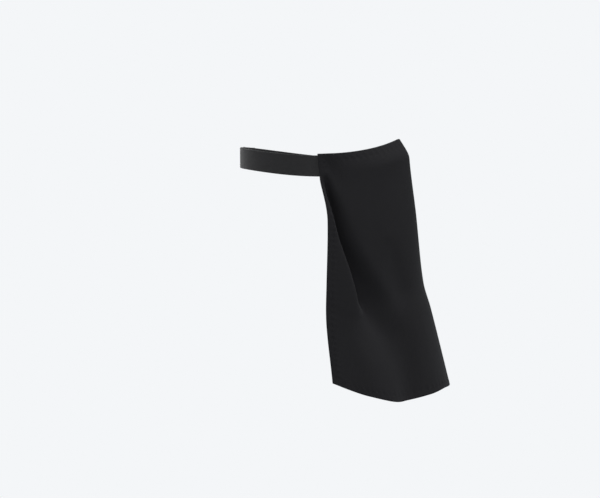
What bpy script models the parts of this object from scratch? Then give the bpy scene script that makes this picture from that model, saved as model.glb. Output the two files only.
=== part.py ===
"""Half niqab: a draped face panel held by two straps that close behind the head.

Run with: blender --background --python part.py

The face panel is one sheet of cloth with turned hems. It spans the nose bridge, hangs
straight from the tip of the nose and opens out over the chest. A strap is sewn inside
each top corner, and a pad joins the two straps behind the head.

Metres. +Z is up, the wearer faces -Y and X = 0 is the middle of the face. The origin is
the middle of the head loop, at the height of the straps.
"""
import bmesh
import bpy
import numpy as np

# What the panel hangs over, measured from the nose bridge
HEAD_LENGTH = 0.195        # head loop, front to back
NOSE_REACH = 0.0110        # tip of the nose, forward of the nose bridge
CHEST_REACH = 0.0595       # hem at the front, forward of the nose bridge
TEMPLE_OUT = 0.074         # top corner, out from the middle
TEMPLE_BACK = 0.080        # top corner, back from the nose bridge
SHOULDER_OUT = 0.113       # hem corner, out from the middle
SHOULDER_BACK = 0.049      # hem corner, back from the nose bridge

# Face panel
CLOTH = 0.0012             # one layer of crepe
TURNED_HEM = 0.009         # width of the hem, turned to the inside
CENTRE_DROP = 0.293        # nose bridge down to the hem
TOP_DIP = 0.019            # top edge, nose bridge down to the corner
BRIDGE_FLAT = 0.006        # top edge that lies level over the nose bridge
HEM_DIP = 0.016            # hem, front down to its lowest point
FOLD_DEPTH = 0.017         # deepest fold
FOLD_WIDTH = 0.020         # slope of the widest fold

# Straps and their closure
STRAP_WIDTH = 0.025
STRAP_CLOTH = 0.0014
STRAP_SET_DOWN = 0.002     # strap below the panel's top edge
SEWN_LENGTH = 0.020        # strap that lies inside the panel's corner
STRAP_RISE = 0.012         # strap, corner up to the back of the head
OVERLAP = 0.050            # strap ends, one over the other
PAD_THICKNESS = 0.002
PAD_MARGIN = 0.0015        # pad inside the edges of the straps
CLEARANCE = 0.0003         # between pieces that are pressed together
SEWN_GAP = 0.0005          # between a strap and the panel's hem that it is sewn to

# Head loop behind the panel, seen from above
LOOP_REACH = 0.55          # how straight it leaves the corner, as a share of the way back
LOOP_WIDTH = 0.62          # flat stretch behind the head, as a share of TEMPLE_OUT
LOOP_PAST = 0.4            # share of the half loop that is measured past the back
LIFT_LENGTH = 1.5          # stretch over which the outer strap rises, in overlaps
LIFT_BEFORE = 2.2          # where that starts, before the back of the head, in overlaps
EDGE_SHARE = 0.985         # share of the half width from which the strap's direction is read

# Faces of the sheets
PANEL_COLUMNS = 62         # across the panel, an even number
PANEL_ROWS = 37            # down the panel
STRAP_LINES = 5            # lines across a strap
PAD_LINES = 3              # lines across the pad
SEWN_STEPS = 8             # along the sewn end of a strap
STRAP_STEPS = 28           # along the rest of a strap
PAD_STEPS = 8              # along the pad
HEM_LINE_GAP = 0.25        # a second line beyond the hem's edge, as a share of the hem
HEM_LEVEL = 0.5            # share of the drop at which the side hems have their true width
SECTION_SAMPLES = 320      # points that a half section is measured by

# Half sections of the panel from top to hem, seen from above.
# level   share of the drop
# nose    share of NOSE_REACH, chest share of CHEST_REACH: how far forward the front is
# flare   share of the way out from the temple corner to the shoulder corner
# swing   share of the way forward from the temple corner to the shoulder corner
# round   share of the half width over which the front is rounded
# turn    where the cloth turns back, as shares of the half width and of the depth
SECTION_COLUMNS = ("level", "nose", "chest", "flare", "swing", "round", "turn_out", "turn_back")
SECTIONS = (
    (0.00, 0.00, 0.00, 0.00, 0.00, 0.10, 0.82, 0.27),
    (0.08, 1.00, 0.02, 0.06, 0.10, 0.18, 0.83, 0.30),
    (0.30, 0.84, 0.18, 0.28, 0.52, 0.24, 0.80, 0.33),
    (0.58, 0.62, 0.37, 0.62, 0.61, 0.30, 0.80, 0.34),
    (0.68, 0.50, 0.53, 0.72, 0.63, 0.34, 0.81, 0.33),
    (1.00, 0.00, 1.00, 1.00, 1.00, 0.42, 0.86, 0.31),
)

# Folds, each a valley with a crest on its outer side, as rows from its start down to the hem.
# level         share of the drop
# place         bottom of the valley, as a share of the way from the middle to the side edge
# depth, crest  depth of the valley and height of its crest, as shares of FOLD_DEPTH
# inner, outer  widths of the valley's two slopes, as shares of FOLD_WIDTH
FOLD_COLUMNS = ("level", "place", "depth", "crest", "inner", "outer")
RIGHT_MAIN_FOLD = (
    (0.09, 0.935, 0.00, 0.00, 0.24, 0.34),
    (0.20, 0.875, 0.56, 0.12, 0.30, 0.38),
    (0.35, 0.83, 0.88, 0.16, 0.44, 0.43),
    (0.50, 0.745, 0.90, 0.14, 0.65, 0.45),
    (0.62, 0.69, 0.73, 0.12, 0.95, 0.52),
    (0.73, 0.60, 0.45, 0.10, 1.20, 0.80),
    (0.83, 0.45, 0.34, 0.08, 1.25, 1.00),
    (1.00, 0.41, 0.26, 0.08, 1.25, 1.00),
)
RIGHT_TEMPLE_DIMPLE = (
    (0.00, 0.89, 0.00, 0.00, 0.50, 0.40),
    (0.06, 0.885, 0.15, 0.00, 0.50, 0.40),
    (0.16, 0.87, 0.00, 0.00, 0.50, 0.40),
)
RIGHT_CHEST_FOLD = (
    (0.36, 0.43, 0.00, 0.00, 0.60, 0.50),
    (0.50, 0.35, 0.36, 0.00, 0.75, 0.75),
    (0.62, 0.31, 0.55, 0.02, 0.80, 0.85),
    (0.80, 0.365, 0.45, 0.04, 0.80, 0.85),
    (1.00, 0.42, 0.38, 0.06, 0.80, 0.85),
)
RIGHT_EDGE_FOLD = (
    (0.62, 0.84, 0.00, 0.00, 0.70, 0.60),
    (0.85, 0.80, 0.10, 0.05, 0.80, 0.70),
    (1.00, 0.78, 0.14, 0.05, 0.80, 0.70),
)
LEFT_MAIN_FOLD = (
    (0.09, 0.94, 0.00, 0.00, 0.20, 0.30),
    (0.22, 0.88, 0.55, 0.14, 0.30, 0.32),
    (0.40, 0.80, 0.90, 0.22, 0.60, 0.36),
    (0.58, 0.70, 0.80, 0.25, 1.00, 0.45),
    (0.76, 0.57, 0.45, 0.18, 1.20, 0.70),
    (1.00, 0.50, 0.28, 0.10, 1.20, 0.80),
)
LEFT_TEMPLE_DIMPLE = (
    (0.00, 0.89, 0.00, 0.00, 0.50, 0.40),
    (0.07, 0.88, 0.12, 0.00, 0.50, 0.40),
    (0.17, 0.87, 0.00, 0.00, 0.50, 0.40),
)
LEFT_CHEST_FOLD = (
    (0.44, 0.36, 0.00, 0.00, 0.60, 0.50),
    (0.66, 0.31, 0.22, 0.05, 0.75, 0.60),
    (1.00, 0.30, 0.26, 0.06, 0.80, 0.75),
)
LEFT_EDGE_FOLD = (
    (0.64, 0.86, 0.00, 0.00, 0.70, 0.60),
    (0.86, 0.82, 0.12, 0.05, 0.80, 0.70),
    (1.00, 0.80, 0.16, 0.05, 0.80, 0.70),
)
FOLDS = {
    -1: (RIGHT_MAIN_FOLD, RIGHT_TEMPLE_DIMPLE, RIGHT_CHEST_FOLD, RIGHT_EDGE_FOLD),
    1: (LEFT_MAIN_FOLD, LEFT_TEMPLE_DIMPLE, LEFT_CHEST_FOLD, LEFT_EDGE_FOLD),
}
CREST_PLACE = 1.6          # crest beyond the bottom of the valley, in outer slopes
CREST_RISE = 0.5           # width of the crest's slope towards the valley, in fold widths
CREST_FALL = 2.6           # and away from it

# Height of the hem: share across from the wearer's right corner at -1 to the left corner
# at 1, and share of HEM_DIP that it hangs below the end of the centre drop
HEM_LINE = (
    (-1.00, -0.45),
    (-0.75, 0.50),
    (-0.48, 1.00),
    (-0.25, 0.55),
    (0.00, 0.12),
    (0.18, 0.20),
    (0.38, 0.50),
    (0.58, 0.85),
    (0.78, 0.40),
    (1.00, -0.45),
)

BLACK_CREPE = ((0.016, 0.016, 0.018, 1.0), 0.85)
BLACK_STRAP = ((0.020, 0.020, 0.022, 1.0), 0.80)
BLACK_PAD = ((0.024, 0.024, 0.026, 1.0), 0.70)


def smooth(value):
    """Ease from 0 to 1 with level ends."""
    held = np.clip(value, 0.0, 1.0)
    return held * held * (3.0 - 2.0 * held)


def follow(rows, level):
    """Read a table at a level: one smooth curve through the rows, which never overshoots."""
    table = np.array(rows, dtype=float)
    levels = table[:, 0]
    steps = np.diff(levels)[:, None]
    rates = np.diff(table, axis=0) / steps
    before, after = rates[:-1], rates[1:]
    same_way = before * after > 0.0
    total = np.where(same_way, before + after, 1.0)
    middle = np.where(same_way, 2.0 * before * after / total, 0.0)
    slopes = np.concatenate((rates[:1], middle, rates[-1:]))
    i = int(np.clip(np.searchsorted(levels, level) - 1, 0, len(levels) - 2))
    step = steps[i]
    along = (level - levels[i]) / step
    start = (1.0 + 2.0 * along) * (1.0 - along) ** 2
    end = along ** 2 * (3.0 - 2.0 * along)
    leave = along * (1.0 - along) ** 2 * step
    arrive = along ** 2 * (along - 1.0) * step
    return (start * table[i] + end * table[i + 1]
            + leave * slopes[i] + arrive * slopes[i + 1])


def bezier(corners, shares):
    """Points of a cubic curve at shares of its run."""
    t = np.asarray(shares)[:, None]
    s = 1.0 - t
    return (s ** 3 * corners[0] + 3.0 * s ** 2 * t * corners[1]
            + 3.0 * s * t ** 2 * corners[2] + t ** 3 * corners[3])


def base_section(level):
    """Half section without folds, as outward and forward distances from the nose bridge."""
    row = dict(zip(SECTION_COLUMNS, follow(SECTIONS, level)))
    front = row["nose"] * NOSE_REACH + row["chest"] * CHEST_REACH
    edge_out = TEMPLE_OUT + row["flare"] * (SHOULDER_OUT - TEMPLE_OUT)
    edge_back = TEMPLE_BACK + row["swing"] * (SHOULDER_BACK - TEMPLE_BACK)
    depth = front + edge_back
    corners = np.array([
        (0.0, front),
        (row["round"] * edge_out, front),
        (row["turn_out"] * edge_out, front - row["turn_back"] * depth),
        (edge_out, -edge_back),
    ])
    return bezier(corners, np.linspace(0.0, 1.0, SECTION_SAMPLES))


def length_along(points):
    """Distance along a line of points, from its first point."""
    steps = np.linalg.norm(np.diff(points, axis=0), axis=1)
    return np.concatenate(([0.0], np.cumsum(steps)))


def read_at(points, distance, wanted):
    """Points of a line at the wanted distances along it."""
    return np.stack([np.interp(wanted, distance, points[:, k]) for k in range(2)], axis=1)


def outward_normals(points):
    """Unit normals that point away from the head, in the plane of the section."""
    tangent = np.gradient(points, axis=0)
    tangent /= np.linalg.norm(tangent, axis=1)[:, None]
    return np.stack((-tangent[:, 1], tangent[:, 0]), axis=1)


def fold_heights(side, level, distance):
    """How far the folds push the cloth out, at distances along the half section."""
    push = np.zeros_like(distance)
    for rows in FOLDS[side]:
        held = min(max(level, rows[0][0]), rows[-1][0])
        fold = dict(zip(FOLD_COLUMNS, follow(rows, held)))
        away = distance - fold["place"] * distance[-1]
        inner, outer = fold["inner"] * FOLD_WIDTH, fold["outer"] * FOLD_WIDTH
        valley = np.exp(-(away / np.where(away < 0.0, inner, outer)) ** 2)
        past_crest = away - CREST_PLACE * outer
        spread = np.where(past_crest < 0.0, CREST_RISE, CREST_FALL) * FOLD_WIDTH
        crest = np.exp(-(past_crest / spread) ** 2)
        push += FOLD_DEPTH * (fold["crest"] * crest - fold["depth"] * valley)
    return push


def draped_section(side, level, shares):
    """Points of the half section at shares of its length, folds included."""
    base = base_section(level)
    push = fold_heights(side, level, length_along(base))
    draped = base + outward_normals(base) * push[:, None]
    draped[0, 0] = 0.0
    distance = length_along(draped)
    return read_at(draped, distance, np.asarray(shares) * distance[-1])


def top_height(share):
    """Height of the panel's top edge above the middle of the straps."""
    corner = STRAP_WIDTH / 2.0 + STRAP_SET_DOWN
    level_share = BRIDGE_FLAT / (TEMPLE_OUT + TEMPLE_BACK)
    fallen = np.hypot(share, level_share) - level_share
    whole = np.hypot(1.0, level_share) - level_share
    return corner + TOP_DIP * (1.0 - fallen / whole) ** 2


def hem_height(side, share):
    """Height of the panel's hem above the middle of the straps."""
    below = follow(HEM_LINE, side * share)[1] * HEM_DIP
    return top_height(0.0) - CENTRE_DROP - below


def in_space(side, plan, height):
    """World points of plan points on one side, at heights."""
    return np.stack((side * plan[:, 0], -HEAD_LENGTH / 2.0 - plan[:, 1], height), axis=1)


def panel_points(side, level, shares):
    """World points of the panel's outer face at one level, from the front to the side."""
    top = top_height(shares)
    hem = np.array([hem_height(side, share) for share in shares])
    return in_space(side, draped_section(side, level, shares), top + (hem - top) * level)


def hemmed_spacing(count, hem_share, both_ends):
    """Even shares from 0 to 1, with two lines close together where a hem ends."""
    beyond = hem_share * (1.0 + HEM_LINE_GAP)
    tail = [1.0 - beyond, 1.0 - hem_share, 1.0]
    head = [0.0, hem_share, beyond] if both_ends else [0.0]
    inner = count + 1 - len(head) - len(tail)
    middle = np.linspace(head[-1], tail[0], inner + 2)[1:-1]
    return np.concatenate((head, middle, tail))


def new_material(name, finish):
    """A plain Principled material of one colour and roughness."""
    colour, roughness = finish
    material = bpy.data.materials.new(name)
    material.use_nodes = True
    shader = material.node_tree.nodes["Principled BSDF"]
    shader.inputs["Base Color"].default_value = colour
    shader.inputs["Roughness"].default_value = roughness
    shader.inputs["Metallic"].default_value = 0.0
    material.diffuse_color = colour
    return material


def sheet_object(name, grid, thickness, finish, collection, thick_lines=None):
    """A sheet through a grid of points [row, column, xyz], given its wall by Solidify.

    The wall grows behind the sheet. Where thick_lines is given, the vertices that it
    marks get the full thickness and the others half of it. Faces are split along the
    folds, which run from the outer top to the inner bottom of each side.
    """
    rows, columns = grid.shape[0] - 1, grid.shape[1] - 1
    sheet = bmesh.new()
    bmesh.ops.create_grid(sheet, x_segments=columns, y_segments=rows, size=1.0)
    places = []
    for vertex in sheet.verts:
        column = round((vertex.co.x + 1.0) / 2.0 * columns)
        row = round((1.0 - vertex.co.y) / 2.0 * rows)
        places.append((row, column))
    for vertex, (row, column) in zip(sheet.verts, places):
        vertex.co = grid[row, column]
    right_side = [face for face in sheet.faces if face.calc_center_median().x < 0.0]
    left_side = [face for face in sheet.faces if face.calc_center_median().x >= 0.0]
    bmesh.ops.triangulate(sheet, faces=right_side, quad_method="ALTERNATE")
    bmesh.ops.triangulate(sheet, faces=left_side, quad_method="FIXED")
    mesh = bpy.data.meshes.new(name)
    sheet.to_mesh(mesh)
    sheet.free()
    item = bpy.data.objects.new(name, mesh)
    collection.objects.link(item)
    mesh.shade_smooth()
    mesh.materials.append(new_material(name + "_finish", finish))
    wall = item.modifiers.new("Wall", "SOLIDIFY")
    wall.thickness = thickness
    wall.offset = -1.0
    if thick_lines is not None:
        group = item.vertex_groups.new(name="turned_hem")
        for index, (row, column) in enumerate(places):
            if thick_lines[row, column]:
                group.add([index], 1.0, "REPLACE")
        wall.vertex_group = "turned_hem"
        wall.thickness_vertex_group = 0.5
    return item


def make_face_panel(collection):
    """The draped sheet, from the wearer's right edge to the left one."""
    half = length_along(base_section(HEM_LEVEL))[-1]
    across = hemmed_spacing(PANEL_COLUMNS // 2, TURNED_HEM / half, both_ends=False)
    down = hemmed_spacing(PANEL_ROWS, TURNED_HEM / CENTRE_DROP, both_ends=True)
    rows = []
    for level in down:
        right = panel_points(-1, level, across)[::-1]
        left = panel_points(1, level, across)[1:]
        rows.append(np.concatenate((right, left)))
    grid = np.array(rows)
    in_hem = np.zeros(grid.shape[:2], dtype=bool)
    in_hem[:2, :] = True
    in_hem[-2:, :] = True
    in_hem[:, :2] = True
    in_hem[:, -2:] = True
    return sheet_object("face_panel", grid, 2.0 * CLOTH, BLACK_CREPE, collection, in_hem)


def level_of(side, height):
    """The level at which the panel's side edge has that height."""
    top = top_height(1.0)
    return (top - height) / (top - hem_height(side, 1.0))


def sewn_points(side, height):
    """The strap's outer face inside the panel's corner, from its sewn end to the edge."""
    samples = np.linspace(0.0, 1.0, SECTION_SAMPLES)
    section = draped_section(side, level_of(side, height), samples)
    inside = section - outward_normals(section) * (2.0 * CLOTH + SEWN_GAP)
    distance = length_along(inside)
    steps = np.linspace(-SEWN_LENGTH, 0.0, SEWN_STEPS + 1)
    return read_at(inside, distance, distance[-1] + steps)


def loop_points(side, height, shares):
    """Head loop behind the panel: from the corner at 0 to the back of the head at 1."""
    near, edge = draped_section(side, level_of(side, height), (EDGE_SHARE, 1.0))
    direction = (edge - near) / np.linalg.norm(edge - near)
    inward = np.array((direction[1], -direction[0]))
    start = edge + inward * (2.0 * CLOTH + SEWN_GAP)
    back = np.array((0.0, -HEAD_LENGTH))
    reach = LOOP_REACH * (HEAD_LENGTH - TEMPLE_BACK)
    width = np.array((LOOP_WIDTH * TEMPLE_OUT, 0.0))
    corners = (start, start + direction * reach, back + width, back)
    curve = bezier(corners, 1.0 - np.abs(1.0 - shares))
    curve[:, 0] *= np.where(shares > 1.0, -1.0, 1.0)
    return curve


def strap_line(side, height, outer_layer):
    """One line along a strap at one height across it, in world coordinates."""
    half_loop = loop_points(side, height, np.linspace(0.0, 1.0, SECTION_SAMPLES))
    back = length_along(half_loop)[-1]
    loop = loop_points(side, height, np.linspace(0.0, 1.0 + LOOP_PAST, SECTION_SAMPLES))
    distance = length_along(loop)
    if outer_layer:
        step_out = STRAP_CLOTH + PAD_THICKNESS + 2.0 * CLEARANCE
        lift = smooth((distance - back + LIFT_BEFORE * OVERLAP) / (LIFT_LENGTH * OVERLAP))
        loop = loop + outward_normals(loop) * (lift * step_out)[:, None]
    wanted = np.linspace(0.0, back + OVERLAP / 2.0, STRAP_STEPS + 1)[1:]
    plan = np.concatenate((sewn_points(side, height), read_at(loop, distance, wanted)))
    rise = np.concatenate((np.zeros(SEWN_STEPS + 1), smooth(wanted / back))) * STRAP_RISE
    return in_space(side, plan, height + rise)


def make_strap(name, side, outer_layer, collection):
    """A flat strap, sewn inside the panel's corner and carried round to the back."""
    heights = STRAP_WIDTH / 2.0 * np.linspace(1.0, -1.0, STRAP_LINES)
    grid = np.array([strap_line(side, height, outer_layer) for height in heights])
    if side < 0:
        grid = grid[:, ::-1]
    return sheet_object(name, grid, STRAP_CLOTH, BLACK_STRAP, collection)


def make_back_fastener(collection):
    """The pad that joins the strap ends, between the inner and the outer strap."""
    heights = (STRAP_WIDTH / 2.0 - PAD_MARGIN) * np.linspace(1.0, -1.0, PAD_LINES)
    reach = OVERLAP / 2.0 - PAD_MARGIN
    lines = []
    for height in heights:
        shares = np.linspace(1.0 - LOOP_PAST, 1.0 + LOOP_PAST, SECTION_SAMPLES)
        loop = loop_points(-1, height, shares)
        loop = loop + outward_normals(loop) * (CLEARANCE + PAD_THICKNESS)
        distance = length_along(loop)
        wanted = distance[-1] / 2.0 + np.linspace(-reach, reach, PAD_STEPS + 1)
        level_line = np.full(len(wanted), height + STRAP_RISE)
        lines.append(in_space(-1, read_at(loop, distance, wanted), level_line)[::-1])
    return sheet_object("back_fastener", np.array(lines), PAD_THICKNESS, BLACK_PAD, collection)


def main():
    for item in list(bpy.data.objects):
        bpy.data.objects.remove(item, do_unlink=True)
    collection = bpy.data.collections.new("half_niqab")
    bpy.context.scene.collection.children.link(collection)
    make_face_panel(collection)
    make_strap("right_strap", -1, True, collection)
    make_strap("left_strap", 1, False, collection)
    make_back_fastener(collection)


main()
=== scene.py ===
"""Half niqab in matte black crepe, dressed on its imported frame.

The file is laid out as an add-on and is run as a script. It makes the draped veil, the
stitches of its hems, the two straps, their closure, and a pale studio with a camera.
"""
import math

import bmesh
import bpy
import numpy as np
from bpy.props import FloatProperty, FloatVectorProperty, IntProperty, PointerProperty
from bpy.types import Operator, Panel, PropertyGroup
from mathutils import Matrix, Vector, noise


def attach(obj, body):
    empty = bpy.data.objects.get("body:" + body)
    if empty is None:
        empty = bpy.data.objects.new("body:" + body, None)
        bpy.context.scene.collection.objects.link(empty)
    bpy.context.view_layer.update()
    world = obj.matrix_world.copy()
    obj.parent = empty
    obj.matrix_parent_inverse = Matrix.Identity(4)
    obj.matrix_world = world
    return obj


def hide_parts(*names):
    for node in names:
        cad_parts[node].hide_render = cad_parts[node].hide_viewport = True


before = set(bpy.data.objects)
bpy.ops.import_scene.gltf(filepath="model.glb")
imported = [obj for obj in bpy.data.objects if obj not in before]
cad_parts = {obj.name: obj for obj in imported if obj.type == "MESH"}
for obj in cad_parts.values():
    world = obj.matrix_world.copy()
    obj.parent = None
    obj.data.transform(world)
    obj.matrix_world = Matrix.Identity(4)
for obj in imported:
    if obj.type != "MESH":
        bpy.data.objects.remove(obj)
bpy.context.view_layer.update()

bl_info = {
    "name": "Half Niqab",
    "version": (1, 0, 0),
    "blender": (4, 5, 0),
    "location": "3D View > Sidebar > Half Niqab",
    "description": "Makes a draped half niqab with its straps, stitching and studio",
    "category": "Add Mesh",
}

COLLECTION = "half_niqab_dressed"

# Half sections of the veil from top to hem, seen from above.
# level        share of the drop
# nose, chest  how far forward the front is, as shares of the two reaches
# flare        share of the way out from the temple corner to the shoulder corner
# swing        share of the way forward from the temple corner to the shoulder corner
# round        share of the half width over which the front is rounded
# turn         where the cloth turns back, as shares of the half width and of the depth
SECTION_COLUMNS = ("level", "nose", "chest", "flare", "swing", "round", "turn_out", "turn_back")
SECTIONS = (
    (0.00, 0.00, 0.00, 0.00, 0.00, 0.10, 0.82, 0.27),
    (0.08, 1.00, 0.02, 0.06, 0.10, 0.18, 0.83, 0.30),
    (0.30, 0.84, 0.18, 0.28, 0.52, 0.24, 0.80, 0.33),
    (0.58, 0.62, 0.37, 0.62, 0.61, 0.30, 0.80, 0.34),
    (0.68, 0.50, 0.53, 0.72, 0.63, 0.34, 0.81, 0.33),
    (1.00, 0.00, 1.00, 1.00, 1.00, 0.42, 0.86, 0.31),
)

# Folds, each a valley with a crest on its outer side, as rows from its start down to the hem.
# level         share of the drop
# place         bottom of the valley, as a share of the way from the middle to the side edge
# depth, crest  depth of the valley and height of its crest, as shares of the fold depth
# inner, outer  widths of the valley's two slopes, as shares of the fold width
# tuck          how far the valley slides under its crest, as a share of the tuck reach
FOLD_COLUMNS = ("level", "place", "depth", "crest", "inner", "outer", "tuck")
RIGHT_MAIN_FOLD = (
    (0.09, 0.945, 0.00, 0.00, 0.20, 0.26, 0.00),
    (0.20, 0.882, 0.78, 0.10, 0.22, 0.28, 0.70),
    (0.35, 0.808, 1.18, 0.14, 0.30, 0.30, 1.00),
    (0.50, 0.700, 1.24, 0.12, 0.52, 0.32, 1.00),
    (0.58, 0.646, 1.08, 0.09, 0.76, 0.40, 0.88),
    (0.64, 0.606, 0.90, 0.05, 1.00, 0.62, 0.58),
    (0.70, 0.572, 0.72, 0.02, 1.25, 1.00, 0.22),
    (0.78, 0.515, 0.52, 0.02, 1.45, 1.30, 0.00),
    (0.88, 0.45, 0.36, 0.03, 1.35, 1.25, 0.00),
    (1.00, 0.41, 0.26, 0.06, 1.25, 1.10, 0.00),
)
RIGHT_TEMPLE_DIMPLE = (
    (0.00, 0.89, 0.00, 0.00, 0.50, 0.40, 0.00),
    (0.06, 0.885, 0.15, 0.00, 0.50, 0.40, 0.00),
    (0.16, 0.87, 0.00, 0.00, 0.50, 0.40, 0.00),
)
RIGHT_CHEST_FOLD = (
    (0.36, 0.43, 0.00, 0.00, 0.60, 0.50, 0.00),
    (0.50, 0.35, 0.20, 0.00, 0.75, 0.85, 0.00),
    (0.62, 0.31, 0.30, 0.00, 0.80, 1.00, 0.00),
    (0.80, 0.36, 0.36, 0.02, 0.80, 0.95, 0.00),
    (1.00, 0.42, 0.38, 0.06, 0.80, 0.85, 0.00),
)
RIGHT_EDGE_FOLD = (
    (0.66, 0.86, 0.00, 0.00, 0.70, 0.60, 0.00),
    (0.86, 0.83, 0.05, 0.04, 0.80, 0.70, 0.00),
    (1.00, 0.82, 0.09, 0.05, 0.80, 0.70, 0.00),
)
LEFT_MAIN_FOLD = (
    (0.09, 0.94, 0.00, 0.00, 0.20, 0.30, 0.00),
    (0.22, 0.88, 0.55, 0.14, 0.30, 0.32, 0.40),
    (0.40, 0.80, 0.90, 0.22, 0.60, 0.36, 0.70),
    (0.58, 0.70, 0.80, 0.25, 1.00, 0.45, 0.50),
    (0.76, 0.57, 0.45, 0.18, 1.20, 0.70, 0.00),
    (1.00, 0.50, 0.28, 0.10, 1.20, 0.80, 0.00),
)
LEFT_TEMPLE_DIMPLE = (
    (0.00, 0.89, 0.00, 0.00, 0.50, 0.40, 0.00),
    (0.07, 0.88, 0.12, 0.00, 0.50, 0.40, 0.00),
    (0.17, 0.87, 0.00, 0.00, 0.50, 0.40, 0.00),
)
LEFT_CHEST_FOLD = (
    (0.44, 0.36, 0.00, 0.00, 0.60, 0.50, 0.00),
    (0.66, 0.31, 0.22, 0.05, 0.75, 0.60, 0.00),
    (1.00, 0.30, 0.26, 0.06, 0.80, 0.75, 0.00),
)
LEFT_EDGE_FOLD = (
    (0.64, 0.86, 0.00, 0.00, 0.70, 0.60, 0.00),
    (0.86, 0.82, 0.12, 0.05, 0.80, 0.70, 0.00),
    (1.00, 0.80, 0.16, 0.05, 0.80, 0.70, 0.00),
)
FOLDS = {
    -1: (RIGHT_MAIN_FOLD, RIGHT_TEMPLE_DIMPLE, RIGHT_CHEST_FOLD, RIGHT_EDGE_FOLD),
    1: (LEFT_MAIN_FOLD, LEFT_TEMPLE_DIMPLE, LEFT_CHEST_FOLD, LEFT_EDGE_FOLD),
}
CREST_PLACE = 1.6      # crest beyond the bottom of the valley, in outer slopes
CREST_RISE = 0.5       # width of the crest's slope towards the valley, in fold widths
CREST_FALL = 2.6       # and away from it
TUCK_SPREAD = 0.8      # cloth that slides under the crest, as a share of the crest's place

# Height of the hem: share across from the wearer's right corner at -1 to the left corner
# at 1, and share of the hem's dip that it hangs below the nose bridge's plumb line
HEM_LINE = (
    (-1.00, -0.45),
    (-0.75, 0.50),
    (-0.48, 1.00),
    (-0.25, 0.60),
    (0.00, 0.24),
    (0.18, 0.26),
    (0.38, 0.50),
    (0.58, 0.85),
    (0.78, 0.40),
    (1.00, -0.45),
)

# Waves of the cloth between its folds: wave length across and down in metres, height as a
# share of the ripple size, and how much of it is left at the top edge
RIPPLE_COLUMNS = ("across", "down", "height", "at_top")
RIPPLES = (
    (0.060, 0.240, 1.00, 0.25),
    (0.026, 0.110, 0.45, 0.35),
    (0.012, 0.030, 0.10, 0.80),
)

RIPPLE_APART = 7.3     # between the slices of noise that the waves are read from
RIPPLE_GROWTH = 0.8    # share of the drop over which they grow to their whole height
CALM_ACROSS = 2.2      # cloth without waves over a sewn strap, in sewn lengths
CALM_DOWN = 1.8        # and in strap widths
CALM_START = 0.6       # share of both at which the waves begin
TOP_FADE = 4.0         # stretch over which they fade towards the top edge, in hems
TOP_REST = 0.25        # how far the fade has come at the edge itself

# Sewn hems
HEM_STEP = 0.6         # width of the step at a hem's turned edge, in layers of cloth
GROOVE_WIDTH = 0.6     # half width of the groove of a stitch line, in layers of cloth
GROOVE_DEPTH = 0.8     # its depth, in puckers
IMPRINT_WIDTH = 0.5    # half width of the turned edge's print on the outer face, in layers
IMPRINT_DEPTH = 0.35   # its depth, in puckers
PUCKER_REACH = 0.5     # how far the puckers reach from the stitch line, in hems
PUCKER_LENGTH = 2.7    # from one pucker to the next, in stitches
PUCKER_SWAY = 1.7      # how unevenly they follow each other, in radians
SWAY_LENGTH = 0.021    # stretch of hem for one radian of that
THREAD_LIFT = 0.15     # middle of a stitch above the cloth, in threads

# Head loop behind the veil, seen from above
LOOP_REACH = 0.55      # how straight it leaves the corner, as a share of the way back
LOOP_WIDTH = 0.62      # flat stretch behind the head, as a share of the temple's place
LIFT_LENGTH = 1.5      # stretch over which the outer strap rises, in overlaps
LIFT_BEFORE = 2.2      # where that starts, before the back of the head, in overlaps
PLAIN_EDGE = 0.0012    # tape without ribs along its sides
PLAIN_FADE = 0.001     # stretch over which the ribs begin
PAD_ROUND = 0.45       # radius of the pad's edges, as a share of one of its faces
PAD_FACE = 0.94        # thickness of one face, as a share of half the pad

# Lines of the meshes
SECTION_SAMPLES = 700      # points that a half section is measured by
RIM_LINES = (0.0, 0.12, 0.42, 0.85, 1.3)   # lines along a rounded edge, in its radii
HEM_LINES = 4              # lines between a rounded edge and the stitch line
STRAP_GRID = (53, 163)     # lines across and along a strap, between its rounded edges
PAD_GRID = (20, 40)        # and of the pad

# Studio lamps: name, place, point that they face, width and height, and power in watts
LAMPS = (
    ("front_key", (0.60, -1.62, 3.67), (0.0, -0.12, -0.20), (2.4, 1.8), 145.0),
    ("right_soft", (-2.30, -0.32, 3.33), (0.0, -0.10, -0.15), (1.8, 1.8), 105.0),
    ("back_soft", (0.95, 3.40, 2.00), (0.0, -0.05, -0.12), (2.4, 2.0), 75.0),
    ("left_back", (1.50, 1.20, 0.90), (0.0, 0.0, -0.10), (1.4, 1.4), 16.0),
)
SENSOR_WIDTH = 36.0        # of the camera, in millimetres
FLOOR_RADIUS = 9.0
FLOOR_SIDES = 96
FLOOR_FADE = (0.35, 1.6)   # distances at which the floor begins and ends to melt away
FLOOR_LEAST = 0.55         # how far it has melted under the veil
PAPER_SHADE = 0.75         # brightness of the floor's paper, as a share of the backdrop's


def metres(name, description, default):
    """A length that a user may change."""
    return FloatProperty(name=name, description=description, default=default, unit="LENGTH")


def tint(name, description, default):
    """A colour that a user may change."""
    return FloatVectorProperty(name=name, description=description, default=default,
                               subtype="COLOR", size=3, min=0.0, max=1.0)


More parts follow.
